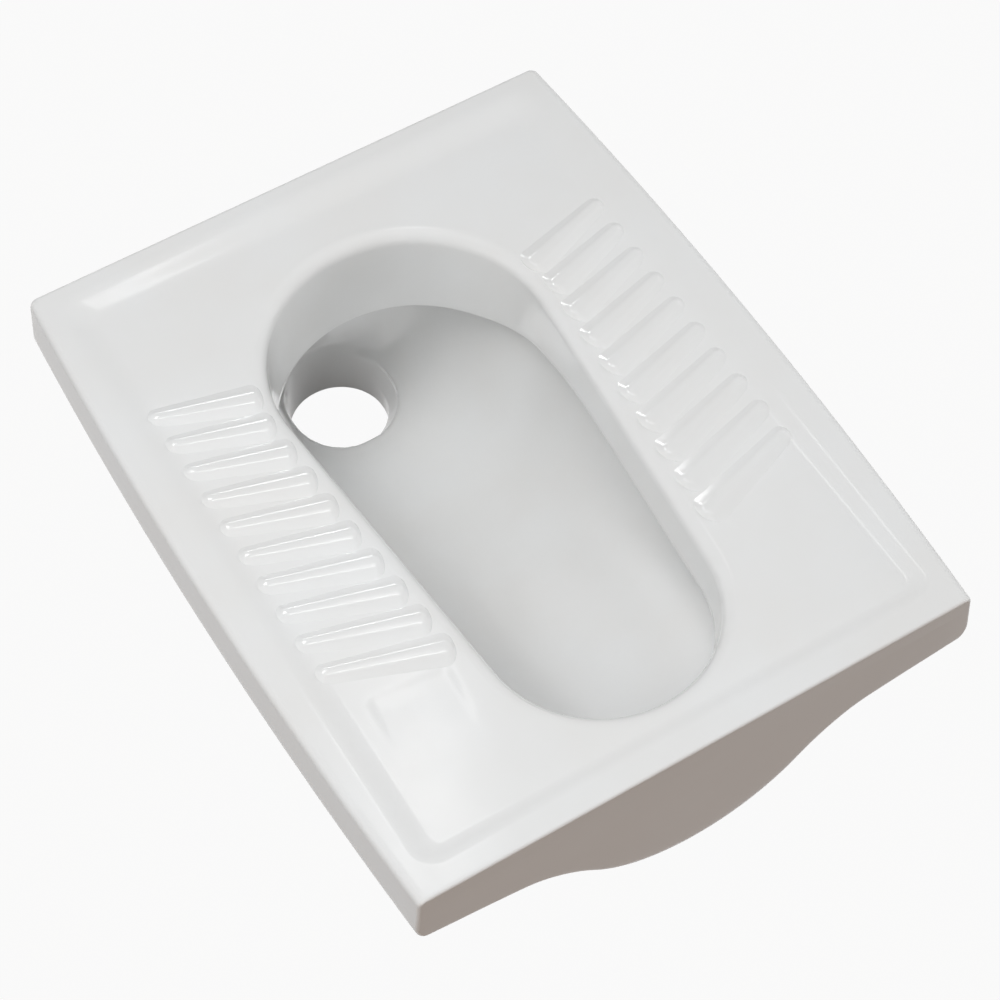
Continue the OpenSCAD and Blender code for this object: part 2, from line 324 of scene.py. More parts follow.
# %% Collar
COLLAR_T = 8
COLLAR_LEAN = 3
COLLAR_BACK_D = TOP - collar_low.z
COLLAR_SIDE_D = 50
DROP_LEN = 170
EDGE_R = 2
EDGE_BAND = 8
BAND_LEAN = 0.2
LIP_STEPS = 12
EDGE_STEPS = 4

edge_turn = quarter(EDGE_STEPS)
collar_rings = [mouth_ring(LIP_R - LIP_R * sin(a), UNDER_D - LIP_R * cos(a)) for a in quarter(LIP_STEPS)]


def collar_edge(out, up):
    """A ring beside the collar's lower edge, some way above it."""
    return mouth_ring(out - COLLAR_LEAN, COLLAR_BACK_D - up)


collar_rings += [collar_edge(BAND_LEAN, EDGE_BAND)]
collar_rings += [collar_edge(EDGE_R - EDGE_R * cos(a), EDGE_R - EDGE_R * sin(a)) for a in edge_turn]
back_edge = COLLAR_T - EDGE_R
collar_rings += [collar_edge(back_edge + EDGE_R * sin(a), EDGE_R - EDGE_R * cos(a)) for a in edge_turn]
collar_rings += [collar_edge(COLLAR_T + BAND_LEAN, EDGE_BAND)]
collar_rings += [mouth_ring(COLLAR_T, UNDER_D), mouth_ring(LIP_R, UNDER_D), mouth_ring(LIP_R, RECESS_D)]
collar = loft("mouth_collar", collar_rings)
edit(collar)
pick(collar, lambda x, y, d: d > COLLAR_BACK_D - EDGE_BAND - NEAR)
bpy.ops.mesh.hide(unselected=True)
pick(collar, lambda x, y, d: y < BACK_Y - DROP_LEN / 2)
pull(0, COLLAR_SIDE_D - COLLAR_BACK_D, "SMOOTH", DROP_LEN)
bpy.ops.mesh.reveal()
weld(collar)
smooth(collar)

# %% [markdown]
# ## The channel wall
# Behind the collar a second wall closes the flush channel. It is never seen from above, but from below
# it shows between the deck and the bowl. Water runs along it, so it is glazed. It is a plain ring of the
# mouth's outline, and the flush inlet opens into its back later, once the inlet's own sizes are known.

# %% Channel wall
CHANNEL_IN = 20
CHANNEL_OUT = 29
CHANNEL_D = 80
channel_rings = [
    mouth_ring(CHANNEL_IN, UNDER_D),
    mouth_ring(CHANNEL_IN, CHANNEL_D),
    mouth_ring(CHANNEL_OUT, CHANNEL_D),
    mouth_ring(CHANNEL_OUT, UNDER_D),
    mouth_ring(CHANNEL_IN, UNDER_D),
]
channel = loft("outer_channel_wall", channel_rings)
report(channel)

# %% [markdown]
# ## The bowl and the outlet
# The bowl is the sloping trough under the mouth. It is shallow in front, runs down and back, and opens
# into the outlet. A potter would carve the plaster model from a few simple bodies and scrape it smooth,
# and this is done the same way: balls and discs are wrapped in their convex hull, once for the inside
# and once, a wall larger, for the outside. A Boolean takes one from the other, a voxel remesh gives the
# whole body one even skin, and smoothing scrapes its ridges round. It is made a little too long at its
# three ends and then sliced, so that it meets the channel, the front apron and the floor of the drain
# with flat faces. Bowl and spigot are two slices of the same body, so no seam shows in the bore.

# %% Carving bodies
BOWL_T = 9
BORE_R = 43.5
BALL_CUTS = 96
SPARE = 6
# Balls and discs, each given as (y, depth, radius)
TROUGH_HEAD = (FRONT_Y, 21, FRONT_R + CHANNEL_IN)
TROUGH_BELLY = (BACK_Y, 90, BACK_R + 5)
DRAIN_TOP = (SPIGOT_Y - 8, SPIGOT_TOP_D - 13, BORE_R + 8)
DRAIN_HOLE = (SPIGOT_Y, SPIGOT_TOP_D, BORE_R)
FUNNEL_TOP = (SPIGOT_Y - 12, SPIGOT_TOP_D - 3, BORE_R + 6.5)
FUNNEL_FOOT = (SPIGOT_Y, SPIGOT_TOP_D + 27, BORE_R)
FUNNEL_LOW = (SPIGOT_Y, SPIGOT_TOP_D + 36, BORE_R)
# The round nose of the front apron, which the bowl's front end fills
NOSE_R = 122
NOSE_D = 140
APRON_T = 9


def ball(y, depth, radius):
    """A ball round a point on the pan's middle plane."""
    bpy.ops.mesh.primitive_uv_sphere_add(
        segments=BALL_CUTS, ring_count=BALL_CUTS // 2, radius=radius * MM, location=place(0, y, depth)
    )
    return bpy.context.object


def hull(name, parts, top_depth=None):
    """Wrap parts in their convex hull, leaving out what lies above a depth."""
    choose(*parts)
    bpy.ops.object.join()
    piece = new_piece(name)
    edit(piece)
    if top_depth is not None:
        pick(piece, lambda x, y, d: d < top_depth - NEAR)
        bpy.ops.mesh.delete(type="VERT")
    bpy.ops.mesh.select_all(action="SELECT")
    bpy.ops.mesh.convex_hull()
    return weld(piece)


def carve(name, grow_by, parts):
    """The trough's form, larger all round by a wall, with its rim at the channel's foot and a spare top."""
    clear()
    for y, depth, radius in (TROUGH_HEAD, TROUGH_BELLY):
        parts.append(ball(y, depth, radius + grow_by))
    rim = CHANNEL_D - SPARE
    for depth in (rim, CHANNEL_D):
        for y, radius in ((BACK_Y, BACK_R), (FRONT_Y, FRONT_R)):
            parts.append(disc(y, depth, radius + CHANNEL_IN + grow_by))
    return hull(name, parts, rim)


def combine(piece, other, operation):
    """Apply a Boolean with another body, which is used up."""
    tool = piece.modifiers.new(operation.lower(), "BOOLEAN")
    tool.operation = operation
    tool.object = other
    tool.solver = "EXACT"
    apply_modifiers(piece)
    bpy.data.objects.remove(other)


def frustum(name, top, foot, grow_by=0):
    """A cylinder or cone between two level circles."""
    clear()
    return hull(name, [disc(y, depth, radius + grow_by) for y, depth, radius in (top, foot)])


# %% The space inside: trough, funnel and bore
PIPE_TOP_D = SPIGOT_TOP_D - 2
inner = carve("trough_inside", 0, [disc(*DRAIN_TOP), disc(*DRAIN_HOLE)])
bore = frustum("bore", (SPIGOT_Y, PIPE_TOP_D, BORE_R), (SPIGOT_Y, TOP + 2 * SPARE, BORE_R))
combine(inner, bore, "UNION")
combine(inner, frustum("funnel", FUNNEL_TOP, FUNNEL_FOOT), "UNION")
print(f"space inside: {inner.dimensions.z / MM:.0f} mm deep with the bore")

# %% The body round it
SPIGOT_T = SPIGOT_R - BORE_R
VOXEL = 2.6
SCRAPES = 14
drain_y, drain_d, drain_r = DRAIN_TOP
nose_y = -HALF_LEN + APRON_T
outer_parts = [disc(drain_y, drain_d + BOWL_T, drain_r + SPIGOT_T)]
outer_parts.append(disc(SPIGOT_Y, SPIGOT_TOP_D, SPIGOT_R))
outer_parts += [disc(nose_y - step, NOSE_D - NOSE_R, NOSE_R, 90) for step in (0, SPARE)]
body = carve("trough_outside", BOWL_T, outer_parts)
pipe = frustum("spigot_out", (SPIGOT_Y, PIPE_TOP_D, SPIGOT_R), (SPIGOT_Y, TOP + SPARE, SPIGOT_R))
combine(body, pipe, "UNION")
combine(body, frustum("funnel_out", FUNNEL_TOP, FUNNEL_LOW, SPIGOT_T + 1), "UNION")
combine(body, inner, "DIFFERENCE")
skin = body.modifiers.new("skin", "REMESH")
skin.mode = "VOXEL"
skin.voxel_size = VOXEL * MM
scrape = body.modifiers.new("scrape", "SMOOTH")
scrape.factor = 0.5
scrape.iterations = SCRAPES
apply_modifiers(body)
report(body)


# %% Slice the body into bowl and spigot
def slice_of(source, name, cuts):
    """A copy of a body, cut by planes given as (axis, place in millimetres, side that is kept)."""
    choose(source)
    bpy.ops.object.duplicate()
    piece = new_piece(name)
    edit(piece)
    for axis, where, keep in cuts:
        point, normal = [0, 0, 0], [0, 0, 0]
        point[axis] = where * MM
        normal[axis] = -keep
        bpy.ops.mesh.select_all(action="SELECT")
        bpy.ops.mesh.bisect(plane_co=point, plane_no=normal, use_fill=True, clear_outer=True, threshold=1e-6)
    weld(piece)
    smooth(piece)
    return piece


SPIGOT_TOP_Z = TOP - SPIGOT_TOP_D
bowl = slice_of(body, "bowl_trough", [(2, TOP - CHANNEL_D, -1), (2, SPIGOT_TOP_Z, 1), (1, nose_y, 1)])
spigot = slice_of(body, "drain_spigot", [(2, SPIGOT_TOP_Z, -1), (2, 0, 1)])
bpy.data.objects.remove(body)

# %% [markdown]
# ## The outline of the pan
# Deck and aprons share one outline: straight front and back, long sides that bow out a little, nearly
# sharp front corners and rounder back ones. A plane gives the four corners, a vertex bevel rounds them,
# and one proportional move bows each side: the inverse-square falloff is a parabola, as good as a
# shallow arc.

# %% Outline
FRONT_CORNER_R = 3
BACK_CORNER_R = 5
CORNER_CUTS = 8
SIDE_STATIONS = 24
# Past these places lie the front and the back, the sides, and the front's corners
CORNER_Y = HALF_LEN - 20
CORNER_X = END_X - 18
STATIONS_TO = END_X - 26


def rectangle(name, half_x, half_y, depth):
    """A flat rectangle at a depth, open in edit mode."""
    clear()
    bpy.ops.mesh.primitive_plane_add(size=1, location=place(0, 0, depth))
    bpy.ops.transform.resize(value=(2 * half_x * MM, 2 * half_y * MM, 1))
    piece = new_piece(name)
    edit(piece)
    return piece


def start_outline(name, front_stations=1):
    """The closed outline of the pan at a depth of EDGE_DROP, open in edit mode."""
    piece = rectangle(name, END_X, HALF_LEN, EDGE_DROP)
    for radius, rear in ((FRONT_CORNER_R, False), (BACK_CORNER_R, True)):
        pick(piece, lambda x, y, d: (y > 0) == rear and abs(y) > CORNER_Y)
        bpy.ops.mesh.bevel(offset=radius * MM, segments=CORNER_CUTS, affect="VERTICES")
    pick(piece, anywhere)
    bpy.ops.mesh.delete(type="ONLY_FACE")
    pick_edges(piece, lambda edge: abs(edge.verts[0].co.y - edge.verts[1].co.y) > HALF_LEN * MM)
    bpy.ops.mesh.subdivide(number_cuts=SIDE_STATIONS - 1)
    if front_stations > 1:
        pick_edges(piece, lambda edge: edge.calc_length() > END_X * MM and edge.verts[0].co.y < 0)
        bpy.ops.mesh.subdivide(number_cuts=front_stations - 1)
        pick(piece, lambda x, y, d: STATIONS_TO < abs(x) < END_X - FRONT_CORNER_R - 1 and y < -CORNER_Y)
        bpy.ops.mesh.dissolve_verts()
    for side in (-1, 1):
        pick(piece, lambda x, y, d: x * side > END_X - 1 and abs(y) < HALF_LEN / SIDE_STATIONS)
        pull(side * SIDE_BOW, 0, "INVERSE_SQUARE", HALF_LEN)
    return piece


def step_outline(piece, loop, side=0, front=0, back=0, down=0):
    """Move the selected outline in from its sides, front and back, and down."""
    for sign, end in ((-1, front), (1, back)):
        pick(piece, lambda x, y, d: x * sign > CORNER_X, loop)
        move(x=-sign * side)
        pick(piece, lambda x, y, d: y * sign > CORNER_Y, loop)
        move(y=-sign * end)
    pick(piece, anywhere, loop)
    move(down=down)


# %% [markdown]
# ## The deck
# The deck's long sides have a broad rounded edge, its front a crisp one. Inside a flat border the
# surface slopes down into a shallow recess that drains into the mouth. The slope is soft at its top and
# at its foot, because glaze fills a hollow and thins on a ridge: those two bends catch the light as a
# pair of lines. The rims of outline, recess and mouth are each built from loops, each heel panel is a
# patch of a grid, and the flat stretches between them are then filled. A narrow flat band beside each
# rim keeps the shading of a fill level.

# %% Deck outline with its rounded top edge
SIDE_EDGE_R = 7
BACK_EDGE_R = 4
FRONT_EDGE_R = 2.5
TOP_STEPS = 8
# More rings, where the tighter front and back edges turn
FINE_DEPTHS = [1.9, 1.2, 0.3, 0.03]
FLAT = 1.5


def edge_in(radius, depth):
    """How far a rounded edge has turned in, at a depth below the flat that it leads to."""
    rise = max(0, radius - depth)
    return radius - sqrt(radius**2 - rise**2)


def flare(depth):
    """How far the side walls have splayed at a depth."""
    return SIDE_FLARE * (depth - EDGE_DROP) / (APRON_D - EDGE_DROP)


deck = start_outline("stepping_deck")
loop = pick(deck, anywhere)
step_outline(deck, loop, side=-flare(UNDER_D), down=UNDER_D - EDGE_DROP)
edge_depths = [SIDE_EDGE_R * (1 - sin(a)) for a in quarter(TOP_STEPS)]
edge_depths = sorted(edge_depths + FINE_DEPTHS, reverse=True)
last = (-flare(UNDER_D), 0, 0, UNDER_D)
for depth in edge_depths:
    new = (*(edge_in(radius, depth) for radius in (SIDE_EDGE_R, FRONT_EDGE_R, BACK_EDGE_R)), depth)
    loop = extrude_loop(deck)
    step_outline(deck, loop, *(b - a for a, b in zip(last, new)))
    last = new
loop = extrude_loop(deck)
step_outline(deck, loop, FLAT, FLAT, FLAT, 0)
weld(deck)
print(f"deck edge: {len(edge_depths)} rings, radii {SIDE_EDGE_R}, {FRONT_EDGE_R} and {BACK_EDGE_R} mm")

# %% Recess
# Half width, distance from the middle and corner radius, at the slope's top and foot, in front and behind
TOP_FRONT = (217.5, 282, 20)
TOP_BACK = (220.5, 287, 24)
FOOT_FRONT = (198, 265, 8)
FOOT_BACK = (190, 257, 14)
SLOPE_STEPS = 16


def recess_loop(share, wider=0):
    """Sizes and depth of the recess, a share of the way down its slope."""
    ends = ((TOP_FRONT, FOOT_FRONT), (TOP_BACK, FOOT_BACK))
    front, back = ([a + (b - a) * share + wider for a, b in zip(top, foot)] for top, foot in ends)
    return front, back, RECESS_D * (1 - cos(pi * share)) / 2


def next_rectangle(piece, loop, old, new):
    """Take the selected rounded outline from old sizes to new ones, corner by corner."""
    for x_sign in (-1, 1):
        for y_sign, (old_x, old_y, old_r), (new_x, new_y, new_r) in zip((-1, 1), old, new):
            pick(piece, lambda x, y, d: x * x_sign > 0 and y * y_sign > 0, loop)
            about = place(x_sign * (old_x - old_r), y_sign * (old_y - old_r), old[2])
            grow(new_r / old_r, new_r / old_r, 1, about)
            move(x_sign * (new_x - new_r - old_x + old_r), y_sign * (new_y - new_r - old_y + old_r))
    pick(piece, anywhere, loop)
    move(down=new[2] - old[2])


slope = [recess_loop(0, FLAT), *(recess_loop(step / SLOPE_STEPS) for step in range(SLOPE_STEPS + 1))]
slope.append(recess_loop(1, -FLAT))
start_x, start_y, start_r = TOP_FRONT
recess = rectangle("recess_slope", start_x, start_y, 0)
pick(recess, anywhere)
bpy.ops.mesh.bevel(offset=start_r * MM, segments=CORNER_CUTS, affect="VERTICES")
pick(recess, anywhere)
bpy.ops.mesh.delete(type="ONLY_FACE")
loop = pick(recess, anywhere)
next_rectangle(recess, loop, (TOP_FRONT, TOP_FRONT, 0), slope[0])
for old, new in zip(slope, slope[1:]):
    loop = extrude_loop(recess)
    next_rectangle(recess, loop, old, new)
weld(recess)
print(f"recess: {len(slope)} rings down a slope of {RECESS_D} mm")

# %% The deck's side of the mouth
mouth_rim = loft(
    "mouth_rim",
    [mouth_ring(LIP_R + FLAT, RECESS_D), mouth_ring(LIP_R, RECESS_D), mouth_ring(LIP_R, UNDER_D)],
)
print(f"rim of the mouth: {len(mouth_rim.data.vertices)} points on three rings")

# %% [markdown]
# ## The heel panels
# In front of each tread lies a plain panel. Its back edge is a soft step, half a millimetre low, and from
# there its floor rises again towards the front. An inset would give a hard frame, so a patch of a fine
# grid is used: a line of its points sinks with a smooth falloff, and its front half is then stretched.

# %% Heel panels
PANEL_SINK = 0.5
PANEL_EDGE = 10
PANEL_FADE = 5
PANEL_X = (112, 188)
PANEL_Y = -151
PANEL_TILT = radians(5)
PANEL_CELL = 2


def heel_panel(name):
    """The right panel's soft low step and the floor that rises again in front of it."""
    middle = sum(PANEL_X) / 2
    width = PANEL_X[1] - PANEL_X[0]
    deep = 2 * (PANEL_EDGE + PANEL_CELL)
    spot = place(middle, PANEL_Y, RECESS_D)
    clear()
    bpy.ops.mesh.primitive_grid_add(
        x_subdivisions=width // PANEL_CELL, y_subdivisions=deep // PANEL_CELL, size=1, location=spot
    )
    bpy.ops.transform.resize(value=(width * MM, deep * MM, 1))
    piece = new_piece(name)
    edit(piece)
    reach = width / 2 - PANEL_EDGE - PANEL_CELL
    pick(piece, lambda x, y, d: abs(x - middle) < reach and abs(y - PANEL_Y) < PANEL_CELL / 2)
    pull(0, PANEL_SINK, "SMOOTH", PANEL_EDGE)
    pick(piece, lambda x, y, d: y < PANEL_Y + PANEL_CELL / 2)
    grow(1, PANEL_FADE, 1, spot)
    pick(piece, anywhere)
    bpy.ops.transform.rotate(value=-PANEL_TILT, orient_axis="Z", center_override=spot)
    bpy.ops.object.mode_set(mode="OBJECT")
    return piece


def mirrored(piece, name):
    """A copy with its own mesh on the other side of the pan."""
    choose(piece)
    bpy.ops.object.duplicate()
    bpy.ops.transform.resize(value=(-1, 1, 1), center_override=(0, 0, 0))
    copy = new_piece(name)
    edit(copy)
    return weld(copy)


right_panel = heel_panel("right_panel")
left_panel = mirrored(right_panel, "left_panel")

# %% Fill the flat stretches between the rims
choose(deck, recess, mouth_rim, right_panel, left_panel)
bpy.ops.object.join()
edit(deck)
for depth in (0, RECESS_D, UNDER_D):
    count = pick_edges(deck, rims_at(depth))
    bpy.ops.mesh.fill(use_beauty=True)
    print(f"filled the flat at depth {depth:.0f} mm, with {count} edges round it")
weld(deck)
smooth(deck)

# %% [markdown]
# ## The foot treads
# Ten slanting ribs a side keep a wet shoe from slipping. In the mould each is a shallow groove, so the
# cast rib has a broad flare at its foot and a low flat crest. Here each rib is a ring extruded upwards:
# a flattened half circle beside the lip, and a smaller one slid out to the tip. Every ring is slimmer
# than the last and ends further short of the tip, so the ridge sinks into the deck there. The ribs
# differ in length, because the mouth narrows in front.

# %% One rib, copied along the tread
RIB_COUNT = 10
RIB_PITCH = 28.9
RIB_SLANT = radians(18)
RIB_TIP_X = 205
RIB_FIRST_Y = 154.4
RIB_SKIRT = 4
RIB_POINTS = 56
RIB_TAPER = 0.62
END_GAP = 8.5
MOST_GAP = 13
MOUTH_END_Y = BACK_Y + 10
ROOT_TRIES = 4
# Rings from the foot to the crest: half width, height, reach at the inner end, distance short of the tip
RIB_RINGS = [
    (14.2, 0, 8, 0), (12.4, 0.6, 7.4, 1.3), (10.5, 1.22, 6.8, 2.7), (8.8, 1.8, 6.2, 4),
    (7.4, 2.32, 5.7, 5.1), (6.4, 2.72, 5.3, 6), (5.7, 2.98, 4.9, 6.7), (5.1, 3.16, 4.5, 7.4),
    (4.5, 3.3, 4, 8.2), (3.8, 3.43, 3.4, 9.3), (2.8, 3.55, 2.6, 11), (1.5, 3.62, 1.5, 14),
]


def end_gap(number):
    """Distance of a rib's round end from the mouth: the first ribs run up to the lip's turn."""
    return min(MOST_GAP, END_GAP + number)


def lip_x(y):
    """Half the width of the mouth, also round its wide end."""
    return sqrt(BACK_R**2 - (y - BACK_Y) ** 2) if y > MOUTH_END_Y else mouth_x(y)


def rib_root(number):
    """Where a rib starts beside the lip, found by coming back to it a few times along the slant."""
    tip_y = RIB_FIRST_Y - number * RIB_PITCH
    x, y = RIB_TIP_X, tip_y
    for _ in range(ROOT_TRIES):
        x = lip_x(y) + end_gap(number) + RIB_RINGS[0][2]
        y = tip_y - (RIB_TIP_X - x) * tan(RIB_SLANT)
    return x, y


def narrow(piece, loop, run, old, new):
    """Take the selected ring of a rib from one entry of RIB_RINGS to the next, its two ends apart."""
    old_w, old_h, old_reach, old_short = old
    new_w, new_h, new_reach, new_short = new
    thin = new_w / old_w
    outer = pick(piece, lambda x, y, d: x > run / 2, loop)
    cap = run - old_short - old_w * RIB_TAPER
    grow(thin, thin, 1, place(cap, 0, RECESS_D))
    move(x=run - new_short - new_w * RIB_TAPER - cap)
    pick(piece, anywhere, loop - outer)
    grow(new_reach / old_reach, thin, 1, place(0, 0, RECESS_D + RIB_SKIRT))
    pick(piece, anywhere, loop)
    move(down=old_h - new_h)


def rib(number):
    """One rib of the right tread, with its broad inner end by the lip and its slim end by the slope."""
    root_x, root_y = rib_root(number)
    run = (RIB_TIP_X - root_x) / cos(RIB_SLANT)
    foot_w, _, foot_reach, _ = RIB_RINGS[0]
    clear()
    disc(0, RECESS_D + RIB_SKIRT, foot_w, 0, RIB_POINTS)
    centre = place(0, 0, RECESS_D + RIB_SKIRT)
    piece = new_piece(f"rib_{number}")
    edit(piece)
    loop = pick(piece, anywhere)
    outer = pick(piece, lambda x, y, d: x > NEAR)
    grow(RIB_TAPER, RIB_TAPER, 1, centre)
    move(x=run - foot_w * RIB_TAPER)
    pick(piece, anywhere, loop - outer)
    grow(foot_reach / foot_w, 1, 1, centre)
    pick(piece, anywhere, loop)
    loop = extrude_loop(piece)
    move(down=-RIB_SKIRT)
    for old, new in zip(RIB_RINGS, RIB_RINGS[1:]):
        loop = extrude_loop(piece)
        narrow(piece, loop, run, old, new)
    bpy.ops.mesh.edge_face_add()
    pick_edges(piece, lambda edge: edge.is_boundary)
    bpy.ops.mesh.edge_face_add()
    weld(piece)
    choose(piece)
    bpy.ops.transform.rotate(value=-RIB_SLANT, orient_axis="Z", center_override=(0, 0, 0))
    move(root_x, root_y)
    bpy.ops.object.transform_apply()
    return piece


ribs = [rib(number) for number in range(RIB_COUNT)]
choose(*ribs)
bpy.ops.object.join()
right_tread = new_piece("ribs_right")
smooth(right_tread, 60)
left_tread = mirrored(right_tread, "ribs_left")
smooth(left_tread, 60)

# %% [markdown]
# ## The aprons
# A band hangs round the deck and stands in the mortar bed. It starts as the same outline, runs down with
# a slight flare, turns round a soft lower edge and comes back up inside. In front it also covers the end
# of the bowl: there its stations are pulled down along a nose between two hollow curves. The ring is
# then cut into its four sections, where the casting's pieces are luted.

# %% The lower edge of the front
LOW_EDGE_IN = 8
LOW_EDGE_UP = 15
LOW_STEPS = 8
WALL_STOPS = (25, 33)
FRONT_LOW_R = 1.5
NOSE_FILLET = 156
NOSE_STATIONS = 96
TAIL_FROM = 222
TAIL_RISE = 0.15
TAIL_BLEND = 3
LUTE_Y = HALF_LEN - APRON_T - 2


def nose_depth(x):
    """Depth of the front apron's lower edge: a round nose, hollow curves beside it, then long tails."""
    across = abs(x)
    if across > STATIONS_TO + 1:
        return APRON_D
    centre = NOSE_R - NOSE_D
    drop = centre + APRON_D + NOSE_FILLET
    side = sqrt((NOSE_R + NOSE_FILLET) ** 2 - drop**2)
    nose = APRON_D
    if across < side * NOSE_R / (NOSE_R + NOSE_FILLET):
        nose = sqrt(NOSE_R**2 - across**2) - centre
    elif across < side:
        nose = APRON_D + NOSE_FILLET - sqrt(NOSE_FILLET**2 - (side - across) ** 2)
    tail = APRON_D + TAIL_RISE * (TAIL_FROM - across)
    return min(NOSE_D, (nose + tail + sqrt((nose - tail) ** 2 + TAIL_BLEND**2)) / 2)


print(f"nose: {nose_depth(0):.0f} mm deep in the middle, {nose_depth(NOSE_R):.1f} mm at {NOSE_R} mm from it")

# %% Apron ring
# Stops on the way round its section: how far in the sides, the front and the back are, and the depth
apron = start_outline("apron_ring", NOSE_STATIONS)
loop = pick(apron, anywhere)
straight = APRON_D - LOW_EDGE_UP
stops = [(-flare(depth), 0, 0, depth) for depth in (UNDER_D, *WALL_STOPS, straight)]
for turn in quarter(LOW_STEPS)[1:]:
    side_in = LOW_EDGE_IN * (1 - cos(turn))
    front_in = FRONT_LOW_R * (1 - cos(turn)) ** 4
    stops.append((side_in - flare(straight), front_in, side_in, straight + LOW_EDGE_UP * sin(turn)))
inner_side = APRON_T + 1 - flare(straight)
stops += [
    (inner_side - 1.2, APRON_T - 2, APRON_T - 0.6, APRON_D),
    (inner_side - 0.3, APRON_T - 0.6, APRON_T - 0.2, APRON_D - 0.6),
    (inner_side, APRON_T, APRON_T, APRON_D - 2),
    (APRON_T - flare(UNDER_D), APRON_T, APRON_T, UNDER_D),
    stops[0],
]
step_outline(apron, loop, stops[0][0], down=UNDER_D - EDGE_DROP)
for old, new in zip(stops, stops[1:]):
    loop = extrude_loop(apron)
    step_outline(apron, loop, *(b - a for a, b in zip(old, new)))
front = pick(apron, lambda x, y, d: y < -CORNER_Y and abs(x) < STATIONS_TO + 1)
points = bmesh.from_edit_mesh(apron.data).verts
columns = sorted({round(vertex.co.x / MM, 2) for vertex in points if vertex.select})
for column in columns:
    stretch = (nose_depth(column) - UNDER_D) / (APRON_D - UNDER_D)
    pick(apron, lambda x, y, d: abs(x - column) < 2 * NEAR, front)
    grow(1, 1, stretch, place(0, 0, UNDER_D))
weld(apron)
report(apron)

# %% Cut the ring into its sections
front_apron = slice_of(apron, "skirt_front", [(1, -LUTE_Y, -1)])
back_apron = slice_of(apron, "skirt_back", [(1, LUTE_Y, 1)])
long_sides = [(1, -LUTE_Y, 1), (1, LUTE_Y, -1)]
left_apron = slice_of(apron, "skirt_left", [*long_sides, (0, 0, -1)])
right_apron = slice_of(apron, "skirt_right", [*long_sides, (0, 0, 1)])
bpy.data.objects.remove(apron)

# %% [markdown]
# ## The flush inlet
# Under the back of the deck a short socket, the horn, leads the flush water into the channel behind the
# collar. It is bare clay with a softly rounded rim, and a rubber cone with two sealing lips sits in it
# to grip the flush pipe. Both are turned: one circle is extruded along the axis and resized ring by
# ring, as for the collar, and closes on its first ring. Two plugs made the same way cut the hole in the
# channel wall and the notch in the back apron.

# %% Horn and cone
HORN_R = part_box("inlet_horn")[1].x / MM
INLET_D = UNDER_D + HORN_R
CONE_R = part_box("inlet_cone")[1].x / MM
CONE_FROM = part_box("inlet_cone")[0].y / MM
PIPE_R = 16
# The horn starts inside the channel wall's thickness
HORN_FROM = BACK_Y + BACK_R + CHANNEL_OUT - 7
HORN_RIM = 2.5
CONE_RIM = 1
CONE_TAPER = 3
CONE_GRIP = 15
FIT = 0.1
TURNED_POINTS = 72
RIM_STEPS = 4
# Places of the two sealing lips, in from the back, and how far they stand into the bore
LIPS_IN = (8, 16)
LIP_HEIGHT = 0.8


def turned(name, stations, closed=True):
    """A body turned about the inlet's axis, through stations of (radius, y): a closed ring or a plug."""
    clear()
    first_r, first_y = stations[0]
    if closed:
        stations = [*stations, stations[0]]
    disc(first_y, INLET_D, first_r, 90, TURNED_POINTS)
    piece = new_piece(name)
    edit(piece)
    pick(piece, anywhere)
    if not closed:
        bpy.ops.mesh.edge_face_add()
    for (old_r, old_y), (new_r, new_y) in zip(stations, stations[1:]):
        if closed:
            extrude_loop(piece)
        else:
            bpy.ops.mesh.extrude_region_move(TRANSFORM_OT_translate={"value": (0, 0, 0)})
        grow(new_r / old_r, 1, new_r / old_r, place(0, old_y, INLET_D))
        move(y=new_y - old_y)
    return weld(piece)


def rim(radius, inner, end, edge):
    """Stations round a socket's end, from its outside over two rounded edges to its bore."""
    outside = [(radius - edge + edge * cos(a), end - edge + edge * sin(a)) for a in quarter(RIM_STEPS)]
    inside = [(inner + edge - edge * sin(a), end - edge + edge * cos(a)) for a in quarter(RIM_STEPS)]
    return outside + inside


def sealing_lip(y):
    """Stations of one lip inside the cone, steeper towards the back."""
    crest = PIPE_R - LIP_HEIGHT
    return [(PIPE_R, y + 2), (crest, y + 0.6), (crest, y), (PIPE_R, y - 1.6)]


horn_line = [(HORN_R, HORN_FROM), *rim(HORN_R, CONE_R, HALF_LEN, HORN_RIM), (CONE_R, HORN_FROM)]
horn = turned("flush_horn", horn_line)
smooth(horn)
lips = [station for lip_in in LIPS_IN for station in sealing_lip(HALF_LEN - lip_in)]
cone_line = [
    (CONE_R - CONE_TAPER, CONE_FROM), (CONE_R - FIT, HALF_LEN - CONE_GRIP),
    *rim(CONE_R - FIT, PIPE_R, HALF_LEN, CONE_RIM), *lips,
    (PIPE_R, CONE_FROM + CONE_RIM), (PIPE_R + CONE_RIM, CONE_FROM),
]
cone = turned("pipe_cone", cone_line)
smooth(cone)

# %% The hole in the channel wall and the notch in the back apron
def pierce(wall, name, radius, start, end):
    """Cut a round way along the inlet's axis through a wall."""
    combine(wall, turned(name, [(radius, start), (radius, end)], closed=False), "DIFFERENCE")
    smooth(wall)


pierce(channel, "hole", CONE_R, BACK_Y + BACK_R, HALF_LEN)
pierce(back_apron, "notch", HORN_R + FIT, HALF_LEN - 2 * APRON_T, HALF_LEN + SPARE)

# %% [markdown]
# ## Finishes
# The pan has three: glazed china, bare fired clay and rubber. Their patterns follow each piece's
# coordinates and run on from piece to piece, so no joint shows. The helpers take sizes in millimetres
# and turn them into the scales and heights that the nodes want.

# %% Helpers for materials
def linear(code):
    """An sRGB hex colour as the linear values that Blender's sockets take."""
    channels = [int(code[i:i + 2], 16) / 255 for i in (1, 3, 5)]
    return (*(c / 12.92 if c <= 0.04045 else ((c + 0.055) / 1.055) ** 2.4 for c in channels), 1)


